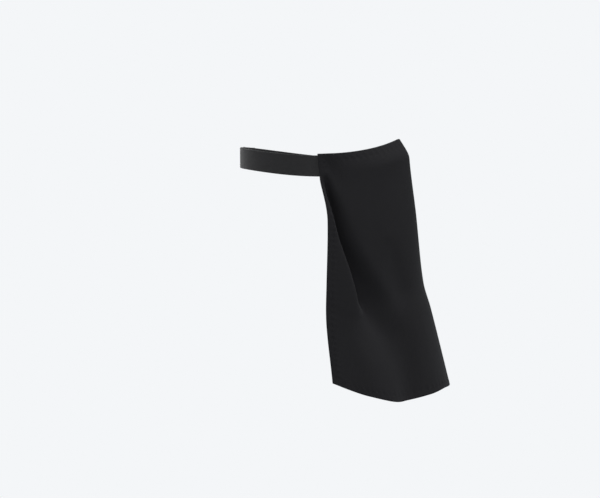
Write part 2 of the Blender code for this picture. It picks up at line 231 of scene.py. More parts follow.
class VeilSizes(PropertyGroup):
    """Sizes of the draped veil."""

    head_length: metres("Head length", "Front to back of the head loop", 0.195)
    nose_reach: metres("Nose reach", "Tip of the nose, forward of the nose bridge", 0.011)
    chest_reach: metres("Chest reach", "Hem at the front, forward of the nose bridge", 0.0595)
    temple_out: metres("Temple out", "Top corner, out from the middle", 0.074)
    temple_back: metres("Temple back", "Top corner, back from the nose bridge", 0.080)
    shoulder_out: metres("Shoulder out", "Hem corner, out from the middle", 0.113)
    shoulder_back: metres("Shoulder back", "Hem corner, back from the nose bridge", 0.049)
    cloth: metres("Cloth", "Thickness of one layer of crepe", 0.0012)
    turned_hem: metres("Turned hem", "Width of the hem, turned to the inside", 0.009)
    centre_drop: metres("Centre drop", "Nose bridge down to the hem", 0.293)
    top_dip: metres("Top dip", "Top edge, nose bridge down to the corner", 0.019)
    bridge_flat: metres("Bridge flat", "Top edge that lies level over the nose bridge", 0.006)
    hem_dip: metres("Hem dip", "Hem, front down to its lowest point", 0.016)
    fold_depth: metres("Fold depth", "Deepest fold", 0.017)
    fold_width: metres("Fold width", "Slope of the widest fold", 0.020)
    tuck_reach: metres("Tuck reach", "Valley of the main fold, slid under its crest", 0.0125)
    ripple: metres("Ripple", "Height of the waves between the folds", 0.0011)
    pucker: metres("Pucker", "How far the hem stitches gather the cloth", 0.00016)
    columns: IntProperty(
        name="Columns", description="Faces across half the veil", default=112)
    rows: IntProperty(
        name="Rows", description="Faces down the veil", default=190)


class StrapSizes(PropertyGroup):
    """Sizes of the straps and their closure."""

    width: metres("Width", "Width of a strap", 0.025)
    cloth: metres("Cloth", "Thickness of a strap", 0.0014)
    set_down: metres("Set down", "Strap below the veil's top edge", 0.002)
    sewn_length: metres("Sewn length", "Strap that lies inside the veil's corner", 0.020)
    rise: metres("Rise", "Strap, corner up to the back of the head", 0.012)
    overlap: metres("Overlap", "Strap ends, one over the other", 0.050)
    pad_thickness: metres("Pad thickness", "Hook and loop faces together", 0.002)
    pad_margin: metres("Pad margin", "Pad inside the edges of the straps", 0.0015)
    clearance: metres("Clearance", "Between pieces that are pressed together", 0.0003)
    sewn_gap: metres("Sewn gap", "Between a strap and the hem that it is sewn to", 0.0005)
    rib_pitch: metres("Rib pitch", "From one woven rib to the next", 0.0016)
    rib_height: metres("Rib height", "Height of a woven rib", 0.00010)


class StitchSizes(PropertyGroup):
    """Sizes of the sewing thread and its stitches."""

    pitch: metres("Pitch", "From one stitch to the next", 0.0028)
    length: metres("Length", "Thread that shows in one stitch", 0.0022)
    thread: metres("Thread", "Thickness of the thread", 0.00034)
    inset: metres("Inset", "Stitch line inside the turned edge of a hem", 0.0018)


class FinishColours(PropertyGroup):
    """Colours of the cloths."""

    crepe: tint("Crepe", "Black crepe of the veil", (0.0150, 0.0149, 0.0165))
    tape: tint("Tape", "Black tape of the straps", (0.0170, 0.0170, 0.0185))
    pad: tint("Pad", "Hook and loop pad", (0.0210, 0.0210, 0.0225))
    thread: tint("Thread", "Sewing thread", (0.0150, 0.0150, 0.0165))
    backdrop: tint("Backdrop", "Pale studio background", (0.905, 0.921, 0.939))


class StudioSizes(PropertyGroup):
    """Camera and light."""

    azimuth: FloatProperty(
        name="Azimuth", description="Camera angle round the veil",
        default=math.radians(-72.0), subtype="ANGLE")
    elevation: FloatProperty(
        name="Elevation", description="Camera angle above level",
        default=math.radians(1.5), subtype="ANGLE")
    distance: metres("Distance", "Camera to the nose bridge", 2.4)
    frame_width: metres("Frame width", "Width of the picture at the nose bridge", 0.720)
    aside: metres("Aside", "Nose bridge right of the picture's middle", 0.1192)
    above: metres("Above", "Nose bridge above the picture's middle", 0.1326)
    ambient: FloatProperty(
        name="Ambient", description="Light from all round", default=0.035)
    floor_below: metres("Floor below", "Floor below the straps", 0.80)


def smooth(value):
    """Ease from 0 to 1 with level ends."""
    held = np.clip(value, 0.0, 1.0)
    return held * held * (3.0 - 2.0 * held)


def bell(distance, width):
    """1 in the middle, and fading on both sides over a width."""
    return np.exp(-(distance / width) ** 2)


def follow(rows, level):
    """Read a table at a level: one smooth curve through the rows, which never overshoots."""
    table = np.array(rows, dtype=float)
    levels = table[:, 0]
    steps = np.diff(levels)[:, None]
    rates = np.diff(table, axis=0) / steps
    before, after = rates[:-1], rates[1:]
    same_way = before * after > 0.0
    total = np.where(same_way, before + after, 1.0)
    middle = np.where(same_way, 2.0 * before * after / total, 0.0)
    slopes = np.concatenate((rates[:1], middle, rates[-1:]))
    i = int(np.clip(np.searchsorted(levels, level) - 1, 0, len(levels) - 2))
    step = steps[i]
    along = (level - levels[i]) / step
    start = (1.0 + 2.0 * along) * (1.0 - along) ** 2
    end = along ** 2 * (3.0 - 2.0 * along)
    leave = along * (1.0 - along) ** 2 * step
    arrive = along ** 2 * (along - 1.0) * step
    return (start * table[i] + end * table[i + 1]
            + leave * slopes[i] + arrive * slopes[i + 1])


def bezier(corners):
    """Points of a cubic curve."""
    t = np.linspace(0.0, 1.0, SECTION_SAMPLES)[:, None]
    s = 1.0 - t
    return (s ** 3 * corners[0] + 3.0 * s ** 2 * t * corners[1]
            + 3.0 * s * t ** 2 * corners[2] + t ** 3 * corners[3])


def length_along(points):
    """Distance along a line of points, from its first point."""
    steps = np.linalg.norm(np.diff(points, axis=0), axis=1)
    return np.concatenate(([0.0], np.cumsum(steps)))


def read_at(points, distance, wanted):
    """Points of a line at the wanted distances along it."""
    places = [np.interp(wanted, distance, points[:, k]) for k in range(points.shape[1])]
    return np.stack(places, axis=1)


def plan_normals(points):
    """Unit normals away from the head, and tangents, of a line seen from above."""
    tangent = np.gradient(points, axis=0)
    tangent /= np.linalg.norm(tangent, axis=1)[:, None]
    return np.stack((-tangent[:, 1], tangent[:, 0]), axis=1), tangent


def grid_normals(points):
    """Unit normals of a grid of points [row, column, xyz]."""
    down = np.gradient(points, axis=0)
    across = np.gradient(points, axis=1)
    normal = np.cross(down, across)
    return normal / np.maximum(np.linalg.norm(normal, axis=2), 1e-12)[:, :, None]


class Drape:
    """Where the cloth and the straps lie when the veil is worn."""

    def __init__(self, veil, strap):
        self.veil = veil
        self.strap = strap
        self.front = -veil.head_length / 2.0
        self.behind = 2.0 * veil.cloth + strap.sewn_gap

    def base_section(self, level):
        """Half section without folds, as outward and forward distances."""
        veil = self.veil
        row = dict(zip(SECTION_COLUMNS, follow(SECTIONS, level)))
        front = row["nose"] * veil.nose_reach + row["chest"] * veil.chest_reach
        edge_out = veil.temple_out + row["flare"] * (veil.shoulder_out - veil.temple_out)
        edge_back = veil.temple_back + row["swing"] * (veil.shoulder_back - veil.temple_back)
        depth = front + edge_back
        return bezier(np.array([
            (0.0, front),
            (row["round"] * edge_out, front),
            (row["turn_out"] * edge_out, front - row["turn_back"] * depth),
            (edge_out, -edge_back),
        ]))

    def fold_offsets(self, side, level, distance):
        """How far the folds push the cloth out, and slide it along the section."""
        depth, width = self.veil.fold_depth, self.veil.fold_width
        push = np.zeros_like(distance)
        slide = np.zeros_like(distance)
        for rows in FOLDS[side]:
            held = min(max(level, rows[0][0]), rows[-1][0])
            fold = dict(zip(FOLD_COLUMNS, follow(rows, held)))
            away = distance - fold["place"] * distance[-1]
            inner, outer = fold["inner"] * width, fold["outer"] * width
            valley = bell(away, np.where(away < 0.0, inner, outer))
            past_crest = away - CREST_PLACE * outer
            spread = np.where(past_crest < 0.0, CREST_RISE, CREST_FALL) * width
            crest = bell(past_crest, spread)
            push += depth * (fold["crest"] * crest - fold["depth"] * valley)
            tucked = bell(away, TUCK_SPREAD * CREST_PLACE * outer)
            slide += self.veil.tuck_reach * fold["tuck"] * tucked
        return push, slide

    def section(self, side, level):
        """The half section with its folds, and the distance along it."""
        base = self.base_section(level)
        normal, tangent = plan_normals(base)
        push, slide = self.fold_offsets(side, level, length_along(base))
        draped = base + normal * push[:, None] + tangent * slide[:, None]
        draped[0, 0] = 0.0
        return draped, length_along(draped)

    def top_height(self, share):
        """Height of the top edge above the middle of the straps."""
        veil = self.veil
        corner = self.strap.width / 2.0 + self.strap.set_down
        flat = veil.bridge_flat / (veil.temple_out + veil.temple_back)
        fallen = np.hypot(share, flat) - flat
        whole = np.hypot(1.0, flat) - flat
        return corner + veil.top_dip * (1.0 - fallen / whole) ** 2

    def hem_height(self, side, share):
        """Height of the hem above the middle of the straps."""
        below = follow(HEM_LINE, side * share)[1] * self.veil.hem_dip
        return self.top_height(0.0) - self.veil.centre_drop - below

    def place(self, side, plan, height):
        """Plan points at heights, in the shared frame."""
        return np.stack((side * plan[:, 0], self.front - plan[:, 1], height), axis=1)

    def level_of(self, side, height):
        """The level at which the side edge has that height."""
        top = self.top_height(1.0)
        return (top - height) / (top - self.hem_height(side, 1.0))

    def loop_start(self, side, height):
        """Where a strap leaves the veil at one height, and its direction at every height."""
        line, _ = self.section(side, self.level_of(side, height))
        unfolded = self.base_section(self.level_of(side, 0.0))
        direction = unfolded[-1] - unfolded[-2]
        direction /= np.linalg.norm(direction)
        inward = np.array((direction[1], -direction[0]))
        return line[-1] + inward * self.behind, direction

    def sewn_line(self, side, height, wanted):
        """Plan points of a strap inside the corner, at distances from its sewn end."""
        line, _ = self.section(side, self.level_of(side, height))
        normal, _ = plan_normals(line)
        inside = line - normal * self.behind
        distance = length_along(inside)
        return read_at(inside, distance, distance[-1] - self.strap.sewn_length + wanted)

    def loop_line(self, side, height):
        """Plan points of the head loop, from the corner to past the back of the head."""
        start, direction = self.loop_start(side, height)
        back = np.array((0.0, -self.veil.head_length))
        reach = LOOP_REACH * (self.veil.head_length - self.veil.temple_back)
        width = LOOP_WIDTH * self.veil.temple_out
        flat_end = back + np.array((width, 0.0))
        half = bezier(np.array((start, start + direction * reach, flat_end, back)))
        past = half[-2:-SECTION_SAMPLES // 2:-1] * np.array((-1.0, 1.0))
        return np.concatenate((half, past)), length_along(half)[-1]


def collection():
    """The collection that holds the dressed pieces."""
    found = bpy.data.collections.get(COLLECTION)
    if found is None:
        found = bpy.data.collections.new(COLLECTION)
        bpy.context.scene.collection.children.link(found)
    return found


def closed_sheet(outer, inner, flat):
    """Vertices, faces and flat coordinates of a closed sheet between two grids."""
    index = np.arange(outer[:, :, 0].size).reshape(outer.shape[:2])
    front = np.stack((index[:-1, :-1], index[1:, :-1], index[1:, 1:], index[:-1, 1:]), -1)
    front = front.reshape(-1, 4)
    back = front[:, (0, 3, 2, 1)] + index.size
    ring = np.concatenate((index[0, :-1], index[:-1, -1], index[-1, :0:-1], index[:0:-1, 0]))
    after = np.roll(ring, -1)
    rim = np.stack((ring, after, after + index.size, ring + index.size), -1)
    points = np.concatenate((outer, inner)).reshape(-1, 3)
    return points, np.concatenate((front, back, rim)), np.concatenate((flat, flat)).reshape(-1, 2)


def add_mesh(name, points, faces, flat, material):
    """A smooth mesh object with its flat coordinates as a UV map."""
    mesh = bpy.data.meshes.new(name)
    mesh.from_pydata(points.tolist(), [], faces.tolist())
    uv = mesh.uv_layers.new(name="flat_cloth")
    corner = np.empty(len(mesh.loops), dtype=np.int32)
    mesh.loops.foreach_get("vertex_index", corner)
    uv.uv.foreach_set("vector", flat[corner].astype(np.float32).ravel())
    mesh.materials.append(material)
    mesh.shade_smooth()
    mesh.update()
    mesh.validate()
    item = bpy.data.objects.new(name, mesh)
    collection().objects.link(item)
    return item


def edge_lines(length, hem, rim, inset, count):
    """Distances from an edge to the middle, over a rounded rim and a hem, and the number
    of the line that the stitches follow."""
    near = [line * rim for line in RIM_LINES]
    step = 0.5 * rim
    around_hem = [hem - step, hem, hem + step, hem + 2.0 * step]
    stitch = hem - inset
    across_hem = np.linspace(near[-1], stitch, HEM_LINES + 1)[1:]
    head = np.concatenate((near, across_hem, around_hem))
    beyond = np.linspace(around_hem[-1], length, count - len(head) + 2)[1:]
    return np.concatenate((head, beyond)), len(near) + HEM_LINES - 1


def rimmed(width, rim, lines):
    """Distances across a strip: close lines at its two rounded edges, even ones between."""
    between = np.linspace(rim[-1], width - rim[-1], lines)[1:-1]
    return np.concatenate((rim, between, width - rim[::-1]))


def rounded(distance, radius):
    """Half height share of an edge rounded to a radius, at a distance from the edge."""
    near = 1.0 - np.clip(distance / radius, 0.0, 1.0)
    return np.sqrt(np.clip(1.0 - near ** 2, 0.0, 1.0))


class VeilCloth:
    """The draped sheet as grids: its two faces, its flat coordinates and its hem line."""

    def __init__(self, drape, stitch):
        veil = drape.veil
        hem, cloth = veil.turned_hem, veil.cloth
        down, self.stitch_row = edge_lines(
            veil.centre_drop / 2.0, hem, cloth, stitch.inset, veil.rows // 2)
        self.from_top = np.concatenate((down, veil.centre_drop - down[-2::-1]))
        levels = self.from_top / veil.centre_drop
        surface, across = [], []
        for level in levels:
            halves = []
            for side in (-1, 1):
                line, distance = drape.section(side, level)
                inwards, self.stitch_column = edge_lines(
                    distance[-1], hem, cloth, stitch.inset, veil.columns)
                wanted = distance[-1] - inwards
                shares = wanted / distance[-1]
                top = drape.top_height(shares)
                low = np.array([drape.hem_height(side, share) for share in shares])
                height = top + (low - top) * level
                halves.append((drape.place(side, read_at(line, distance, wanted), height), wanted))
            (right, right_at), (left, left_at) = halves
            surface.append(np.concatenate((right, left[-2::-1])))
            across.append(np.concatenate((-right_at, left_at[-2::-1])))
        self.surface = np.array(surface)
        self.across = np.array(across)
        self.from_side = np.minimum(self.across - self.across[:, :1],
                                    self.across[:, -1:] - self.across)
        self.down = np.repeat(self.from_top[:, None], self.across.shape[1], axis=1)
        self.flat = np.stack((self.across, -self.down), axis=2)
        self.ripple(drape)
        self.raise_faces(drape, stitch)

    def ripple(self, drape):
        """Soft waves between the folds, none where the straps are sewn on."""
        veil, strap = drape.veil, drape.strap
        normal = grid_normals(self.surface)
        height = np.zeros(self.across.shape)
        level = self.down / self.from_top[-1]
        for number, values in enumerate(RIPPLES):
            wave = dict(zip(RIPPLE_COLUMNS, values))
            left_at_top = wave["at_top"] + (1.0 - wave["at_top"]) * smooth(level / RIPPLE_GROWTH)
            places = zip((self.across / wave["across"]).ravel(), (self.down / wave["down"]).ravel())
            field = np.array([noise.noise(Vector((u, v, RIPPLE_APART * number)))
                              for u, v in places])
            height += wave["height"] * left_at_top * field.reshape(height.shape)
        sewn = np.maximum(self.from_side / (CALM_ACROSS * strap.sewn_length),
                          self.down / (CALM_DOWN * strap.width))
        top_edge = smooth(self.down / (TOP_FADE * veil.turned_hem) + TOP_REST)
        height *= smooth(sewn - CALM_START) * top_edge * veil.ripple
        self.surface = self.surface + normal * height[:, :, None]

    def raise_faces(self, drape, stitch):
        """The outer and inner faces: one layer of cloth, two at the turned hems."""
        veil = drape.veil
        cloth, hem = veil.cloth, veil.turned_hem
        from_end = np.minimum(self.down, self.from_top[-1] - self.down)
        edge = np.minimum(self.from_side, from_end)
        round_off = 1.0 - rounded(edge, cloth)
        second = 1.0 - smooth((edge - hem) / (HEM_STEP * cloth) + 0.5)
        line = hem - stitch.inset
        sunk = bell(edge - line, GROOVE_WIDTH * cloth)
        along = np.where(from_end < edge + 1e-9, self.across, self.down)
        turn = 2.0 * np.pi * along / (PUCKER_LENGTH * stitch.pitch)
        wave = np.sin(turn + PUCKER_SWAY * np.sin(along / SWAY_LENGTH))
        near_line = bell(edge - line, PUCKER_REACH * hem)
        pucker = veil.pucker * (near_line * wave - GROOVE_DEPTH * sunk)
        printed = bell(edge - hem, IMPRINT_WIDTH * cloth)
        imprint = -IMPRINT_DEPTH * veil.pucker * printed
        normal = grid_normals(self.surface)
        offset_out = pucker + imprint - cloth * round_off
        offset_in = pucker - cloth * (1.0 + second) + cloth * round_off
        self.outer = self.surface + normal * offset_out[:, :, None]
        self.inner = self.surface + normal * offset_in[:, :, None]
        self.normal = normal

    def stitch_loop(self, face, lift):
        """Closed line of points along the stitching of all four hems."""
        r, c = self.stitch_row, self.stitch_column
        grid = face + self.normal * lift
        top = grid[r, c:-c - 1]
        left = grid[r:-r - 1, -c - 1]
        bottom = grid[-r - 1, c + 1:-c][::-1]
        right = grid[r + 1:-r, c][::-1]
        return np.concatenate((top, left, bottom, right))

    def corner_run(self, side, drape, stitch, lift):
        """Line on the outer face that closes the hem stitches to a box over a sewn strap."""
        middle = self.across.shape[1] // 2
        half = slice(0, middle) if side < 0 else slice(middle, None)
        places = np.stack((self.from_side[:, half], -self.down[:, half]), axis=2)
        face = self.outer[:, half] + self.normal[:, half] * lift
        runs = stitch_box(face, places, sewn_box(drape, stitch))
        return np.concatenate(runs[1:3] if side < 0 else runs[2:4])

    def flat_size(self):
        """Width and length of the cut, and its area."""
        width = (self.across[:, -1] - self.across[:, 0]).max()
        du = self.surface[1:, :-1] - self.surface[:-1, :-1]
        dv = self.surface[:-1, 1:] - self.surface[:-1, :-1]
        area = np.linalg.norm(np.cross(du, dv), axis=2).sum()
        length = np.linalg.norm(np.diff(self.surface, axis=0), axis=2).sum(axis=0).max()
        return float(width), float(length), float(area)


def give(tree, socket, value):
    """Set a socket to a number, colour or material, or link a node's output to it."""
    if isinstance(value, Value):
        value = value.socket
    if isinstance(value, bpy.types.Node):
        value = value.outputs[0]
    if isinstance(value, bpy.types.NodeSocket):
        tree.links.new(value, socket)
    else:
        socket.default_value = value


def add_node(tree, kind, sockets=(), **settings):
    """Add a node to a tree, with its settings first, because they can change its sockets."""
    made = tree.nodes.new(kind)
    for key, value in settings.items():
        setattr(made, key, value)
    for key, value in dict(sockets).items():
        give(tree, made.inputs[key], value)
    return made


class Value:
    """A number that varies over a surface. Arithmetic on it adds Math nodes."""

    def __init__(self, finish, socket):
        self.finish = finish
        self.socket = socket

    def __add__(self, other):
        return self.finish.maths("ADD", self, other)

    def __sub__(self, other):
        return self.finish.maths("SUBTRACT", self, other)

    def __rsub__(self, other):
        return self.finish.maths("SUBTRACT", other, self)

    def __mul__(self, other):
        return self.finish.maths("MULTIPLY", self, other)

    __radd__ = __add__
    __rmul__ = __mul__


class Finish:
    """A material built from nodes, ending in one Principled shader."""

    def __init__(self, name):
        self.material = bpy.data.materials.new(name)
        self.material.use_nodes = True
        self.tree = self.material.node_tree
        self.tree.nodes.clear()
        self.shader = self.node("ShaderNodeBsdfPrincipled")
        self.output = self.node("ShaderNodeOutputMaterial", {"Surface": self.shader})

    def node(self, kind, sockets=(), **settings):
        return add_node(self.tree, kind, sockets, **settings)

    def maths(self, operation, first, second):
        made = self.node("ShaderNodeMath", {0: first, 1: second}, operation=operation)
        return Value(self, made.outputs[0])

    def mix(self, factor, first, second):
        """Blend two colours by a value."""
        made = self.node("ShaderNodeMix", {"Factor": factor, 6: first, 7: second},
                         data_type="RGBA")
        return made.outputs[2]

    def flat_place(self, across=1.0, down=1.0):
        """Coordinates on the flat cloth, scaled across and down."""
        uv = self.node("ShaderNodeUVMap", uv_map="flat_cloth")
        return self.node("ShaderNodeMapping", {"Vector": uv, "Scale": (across, down, 1.0)},
                         vector_type="POINT")

    def noise(self, place, scale, detail, roughness):
        made = self.node("ShaderNodeTexNoise", {
            "Vector": place, "Scale": scale, "Detail": detail, "Roughness": roughness},
            noise_dimensions="3D")
        return Value(self, made.outputs["Fac"])

    def set(self, values):
        """Set sockets of the shader, by their names."""
        for key, value in values.items():
            give(self.tree, self.shader.inputs[key], value)

    def bump(self, height, distance, strength):
        made = self.node("ShaderNodeBump", {
            "Height": height, "Distance": distance, "Strength": strength})
        self.set({"Normal": made})


def rgb(colour, gain=1.0):
    return tuple(min(channel * gain, 1.0) for channel in colour) + (1.0,)


def crepe_finish(colour):
    """Matte crepe: a pebbled grain of twisted yarns, with a soft bloom at low angles."""
    finish = Finish("black_crepe")
    grain = finish.noise(finish.flat_place(1.0, 0.62), scale=1500.0, detail=1.0, roughness=0.4)
    warp = finish.noise(finish.flat_place(1.0, 0.10), scale=2100.0, detail=0.0, roughness=0.5)
    weft = finish.noise(finish.flat_place(0.10, 1.0), scale=1700.0, detail=0.0, roughness=0.5)
    pebble = grain * 0.6 + warp * 0.25 + weft * 0.15
    cloud = finish.noise(finish.flat_place(1.0, 0.6), scale=26.0, detail=3.0, roughness=0.55)
    speck = finish.noise(finish.flat_place(), scale=420.0, detail=2.0, roughness=0.6)
    shade = cloud * 0.45 + speck * 0.15 + pebble * 0.40
    finish.set({
        "Base Color": finish.mix(shade, rgb(colour, 0.78), rgb(colour, 1.26)),
        "Roughness": 0.80 + (pebble - 0.5) * 0.20 + (cloud - 0.5) * 0.08,
        "Specular IOR Level": 0.08,
        "Sheen Weight": 0.035,
        "Sheen Roughness": 0.45,
        "Sheen Tint": (0.92, 0.95, 1.0, 1.0),
    })
    finish.bump(pebble, distance=0.00022, strength=0.8)
    return finish.material


def tape_finish(colour):
    """Woven tape: lengthwise ribs crossed by fine weft picks."""
    finish = Finish("black_tape")
    picks = finish.node("ShaderNodeTexWave", {
        "Vector": finish.flat_place(), "Scale": 300.0, "Distortion": 0.4, "Detail": 1.0,
        "Detail Scale": 2.0}, wave_type="BANDS", bands_direction="X", wave_profile="SIN")
    pick = Value(finish, picks.outputs["Fac"])
    yarn = finish.noise(finish.flat_place(1.0, 0.25), scale=1400.0, detail=2.0, roughness=0.5)
    cloud = finish.noise(finish.flat_place(), scale=40.0, detail=2.0, roughness=0.5)
    weave = pick * 0.55 + yarn * 0.45
    shade = weave * 0.7 + cloud * 0.3
    finish.set({
        "Base Color": finish.mix(shade, rgb(colour, 0.72), rgb(colour, 1.35)),
        "Roughness": 0.72 + (yarn - 0.5) * 0.18,
        "Specular IOR Level": 0.30,
        "Sheen Weight": 0.12,
        "Sheen Roughness": 0.40,
    })
    finish.bump(weave, distance=0.00018, strength=0.9)
    return finish.material


def pad_finish(colour):
    """Brushed loops pressed on hooks: a rough, broken surface."""
    finish = Finish("hook_and_loop")
    tangle = finish.noise(finish.flat_place(), scale=1300.0, detail=4.0, roughness=0.7)
    clump = finish.noise(finish.flat_place(), scale=260.0, detail=2.0, roughness=0.5)
    rough = tangle * 0.7 + clump * 0.3
    finish.set({
        "Base Color": finish.mix(rough, rgb(colour, 0.65), rgb(colour, 1.6)),
        "Roughness": 0.62 + (tangle - 0.5) * 0.25,
        "Sheen Weight": 0.15,
    })
    finish.bump(rough, distance=0.0004, strength=1.0)
    return finish.material


def thread_finish(colour):
    """Spun sewing thread with its fibres."""
    finish = Finish("black_thread")
    place = finish.node("ShaderNodeTexCoord").outputs["Object"]
    fibre = finish.noise(place, scale=2600.0, detail=2.0, roughness=0.6)
    finish.set({
        "Base Color": finish.mix(fibre, rgb(colour, 0.8), rgb(colour, 1.5)),
        "Roughness": 0.55 + (fibre - 0.5) * 0.2,
        "Specular IOR Level": 0.10,
    })
    finish.bump(fibre, distance=0.00006, strength=0.7)
    return finish.material


def stitch_tree(material):
    """Node tree that lays one stitch after another along every line of a mesh."""
    tree = bpy.data.node_groups.new("stitches_along_lines", "GeometryNodeTree")
    face = tree.interface
    face.new_socket("Geometry", in_out="INPUT", socket_type="NodeSocketGeometry")
    for name in ("Pitch", "Length", "Thread"):
        face.new_socket(name, in_out="INPUT", socket_type="NodeSocketFloat")
    face.new_socket("Geometry", in_out="OUTPUT", socket_type="NodeSocketGeometry")

    sizes = add_node(tree, "NodeGroupInput").outputs
    curve = add_node(tree, "GeometryNodeMeshToCurve", {"Mesh": sizes["Geometry"]})
    spaced = add_node(tree, "GeometryNodeResampleCurve",
                      {"Curve": curve, "Length": sizes["Pitch"]}, mode="LENGTH")
    bead = add_node(tree, "GeometryNodeMeshUVSphere", {"Segments": 6, "Rings": 5, "Radius": 0.5})
    shape = add_node(tree, "ShaderNodeCombineXYZ",
                     {"X": sizes["Thread"], "Y": sizes["Thread"], "Z": sizes["Length"]})
    tangent = add_node(tree, "GeometryNodeInputTangent")
    along = add_node(tree, "FunctionNodeAlignRotationToVector", {"Vector": tangent}, axis="Z")
    placed = add_node(tree, "GeometryNodeInstanceOnPoints",
                      {"Points": spaced, "Instance": bead, "Rotation": along, "Scale": shape})
    real = add_node(tree, "GeometryNodeRealizeInstances", {"Geometry": placed})
    soft = add_node(tree, "GeometryNodeSetShadeSmooth", {"Geometry": real})
    dyed = add_node(tree, "GeometryNodeSetMaterial", {"Geometry": soft, "Material": material})
    add_node(tree, "NodeGroupOutput", {"Geometry": dyed})
    return tree


def sew(name, loops, runs, stitch, colour):
    """Stitches along closed loops and open runs, made by nodes and turned into a mesh."""
    thread = bpy.data.materials.get("black_thread") or thread_finish(colour)
    guide = bmesh.new()
    for number, line in enumerate(loops + runs):
        corners = [guide.verts.new(point) for point in line]
        for first, second in zip(corners, corners[1:]):
            guide.edges.new((first, second))
        if number < len(loops):
            guide.edges.new((corners[-1], corners[0]))
    mesh = bpy.data.meshes.new(name + "_guide")
    guide.to_mesh(mesh)
    guide.free()
    host = bpy.data.objects.new(name + "_guide", mesh)
    collection().objects.link(host)
    nodes = host.modifiers.new("Stitches", "NODES")
    nodes.node_group = stitch_tree(thread)
    sizes = {"Pitch": stitch.pitch, "Length": stitch.length, "Thread": stitch.thread}
    for item in nodes.node_group.interface.items_tree:
        if item.item_type == "SOCKET" and item.in_out == "INPUT" and item.name in sizes:
            nodes[item.identifier] = sizes[item.name]
    graph = bpy.context.evaluated_depsgraph_get()
    sewn = bpy.data.meshes.new_from_object(host.evaluated_get(graph))
    sewn.name = name
    bpy.data.objects.remove(host, do_unlink=True)
    piece = bpy.data.objects.new(name, sewn)
    collection().objects.link(piece)
    return piece


def strip_edge(flat, reach, width):
    """Distance of each point of a strip from its sides, and from its nearest edge."""
    u, v = flat[:, :, 0], flat[:, :, 1]
    from_side = np.minimum(-v, width + v)
    return from_side, np.minimum(from_side, np.minimum(u, reach - u))


def strap_faces(drape, side, outer_layer):
    """Outer and inner faces of a strap, its flat coordinates and its normals."""
    strap = drape.strap
    radius = strap.cloth / 2.0
    rim = np.array(RIM_LINES) * radius
    across = rimmed(strap.width, rim, STRAP_GRID[0])
    lines = []
    for offset in across:
        height = strap.width / 2.0 - offset
        loop, back = drape.loop_line(side, height)
        distance = length_along(loop)
        if outer_layer:
            step_out = strap.cloth + strap.pad_thickness + 2.0 * strap.clearance
            start = back - LIFT_BEFORE * strap.overlap
            lift = smooth((distance - start) / (LIFT_LENGTH * strap.overlap))
            loop = loop + plan_normals(loop)[0] * (lift * step_out)[:, None]
        whole = strap.sewn_length + back + strap.overlap / 2.0
        wanted = rimmed(whole, rim, STRAP_GRID[1])
        inside = wanted < strap.sewn_length
        sewn = drape.sewn_line(side, height, wanted[inside])
        free = read_at(loop, distance, wanted[~inside] - strap.sewn_length)
        rise = smooth((wanted - strap.sewn_length) / back) * strap.rise
        lines.append(drape.place(side, np.concatenate((sewn, free)), height + rise))
    grid = np.array(lines)
    flat = np.stack(np.meshgrid(wanted, -across), axis=2)
    if side < 0:
        grid, flat = grid[:, ::-1], flat[:, ::-1]
    from_side, edge = strip_edge(flat, whole, strap.width)
    ribs = np.cos(2.0 * np.pi * (from_side - strap.width / 2.0) / strap.rib_pitch)
    ribs = strap.rib_height / 2.0 * (ribs - 1.0) * smooth((from_side - PLAIN_EDGE) / PLAIN_FADE)
    round_off = radius * (1.0 - rounded(edge, radius))
    normal = grid_normals(grid)
    outer = grid + normal * (ribs - round_off)[:, :, None]
    inner = grid + normal * (round_off - ribs - strap.cloth)[:, :, None]
    return outer, inner, flat, normal


def pad_shells(drape):
    """Vertices, faces and flat coordinates of the pad: two faces pressed together."""
    strap = drape.strap
    layer = strap.pad_thickness / 2.0
    radius = layer * PAD_ROUND
    rim = np.array(RIM_LINES) * radius
    width = strap.width - 2.0 * strap.pad_margin
    reach = strap.overlap - 2.0 * strap.pad_margin
    across, along = rimmed(width, rim, PAD_GRID[0]), rimmed(reach, rim, PAD_GRID[1])
    lines = []
    for offset in across:
        height = width / 2.0 - offset
        loop, _ = drape.loop_line(-1, height)
        loop = loop + plan_normals(loop)[0] * (strap.clearance + strap.pad_thickness)
        distance = length_along(loop)
        middle = float(np.interp(0.0, -loop[:, 0], distance))
        plan = read_at(loop, distance, middle - reach / 2.0 + along)
        lines.append(drape.place(-1, plan, np.full(len(along), height + strap.rise)))
    grid = np.array(lines)[:, ::-1]
    normal = grid_normals(grid)
    flat = np.stack(np.meshgrid(along, -across), axis=2)
    _, edge = strip_edge(flat, reach, width)
    round_off = (layer / 2.0) * (1.0 - rounded(edge, radius))[:, :, None]
    shells, first = [], 0
    for number in range(2):
        face = grid - normal * (layer * number)
        points, faces, places = closed_sheet(
            face - normal * round_off, face - normal * (PAD_FACE * layer - round_off), flat)
        shells.append((points, faces + first, places))
        first += len(points)
    return [np.concatenate(group) for group in zip(*shells)]


def sewn_box(drape, stitch):
    """Corners of the stitches that hold a strap, in from the veil's side edge and down."""
    hem_line = drape.veil.turned_hem - stitch.inset
    strap = drape.strap
    return ((hem_line, stitch.inset - strap.set_down - strap.width),
            (strap.sewn_length - stitch.inset, -hem_line))


def stitch_box(face, places, box):
    """Four runs round a box of flat places on a face: top, far side, bottom, near side."""
    across, down = places[:, :, 0], places[:, :, 1]
    row_at = down[:, 0]
    column_at = across[face.shape[0] // 2]
    r0, r1 = sorted(int(np.abs(row_at - corner[1]).argmin()) for corner in box)
    c0, c1 = sorted(int(np.abs(column_at - corner[0]).argmin()) for corner in box)
    return (face[r0, c0:c1], face[r0:r1, c1], face[r1, c1:c0:-1], face[r1:r0:-1, c0])


def dressed(context):
    """The drape of the scene's sizes."""
    scene = context.scene
    return Drape(scene.niqab_veil, scene.niqab_strap)


